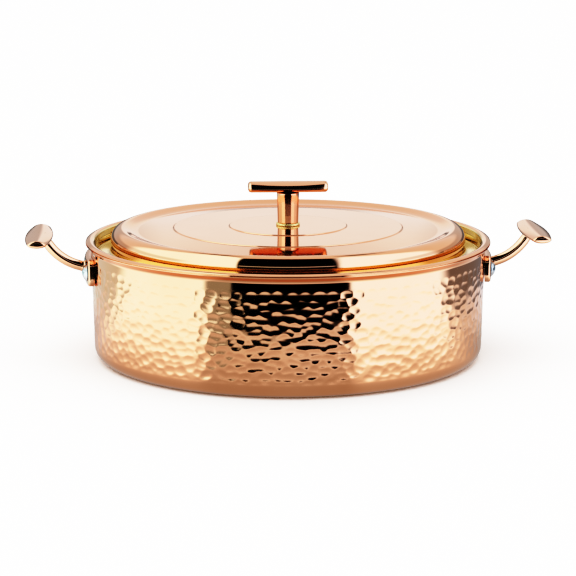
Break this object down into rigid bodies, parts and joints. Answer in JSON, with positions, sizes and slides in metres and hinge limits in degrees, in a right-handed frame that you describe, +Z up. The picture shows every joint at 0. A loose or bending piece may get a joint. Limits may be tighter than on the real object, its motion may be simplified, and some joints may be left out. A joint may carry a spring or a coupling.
{
  "type": "soup kettle",
  "caption": "Round low buffet pot with hammered rose-gold jacket, two riveted side handles and a drop-in stepped lid with a bar knob.",
  "frame": {"origin": "centre of the face the pot stands on, on the pot's axis", "axes": "+Z up along the pot's axis, X through the two side handles, Y towards the plain sides"},
  "size_m": [0.3986, 0.308, 0.1343],
  "materials": {
    "rose_gold_hammered": "rose-gold coated steel, hammered and polished",
    "rose_gold_polished": "rose-gold coated steel, mirror polished",
    "gold_polished": "gold coated steel, mirror polished",
    "rose_gold_cast": "rose-gold coated cast steel, polished",
    "pale_brass": "satin",
    "bright_steel": "polished",
    "satin_steel": "brushed",
    "core_aluminium": "plain"
  },
  "bodies": {
    "pot": {"jacket": "rose_gold_hammered", "liner": "gold_polished", "base_core": "core_aluminium", "base_cap": "satin_steel", "handle_plate_left": "rose_gold_cast", "handle_plate_right": "rose_gold_cast", "handle_stem_left": "rose_gold_cast", "handle_stem_right": "rose_gold_cast", "handle_grip_left": "rose_gold_cast", "handle_grip_right": "rose_gold_cast", "rivets_left": "bright_steel", "rivets_right": "bright_steel"},
    "lid": {"lid_shell": "rose_gold_polished", "knob_collar": "pale_brass", "knob_post": "rose_gold_cast", "knob_bar": "rose_gold_cast", "knob_screw": "bright_steel", "knob_washer": "bright_steel"}
  },
  "joints": [
    {"name": "lid_lift", "type": "slide", "parent": "pot", "child": "lid", "axis": [0, 0, 1], "range_m": [0, 0.14]}
  ]
}
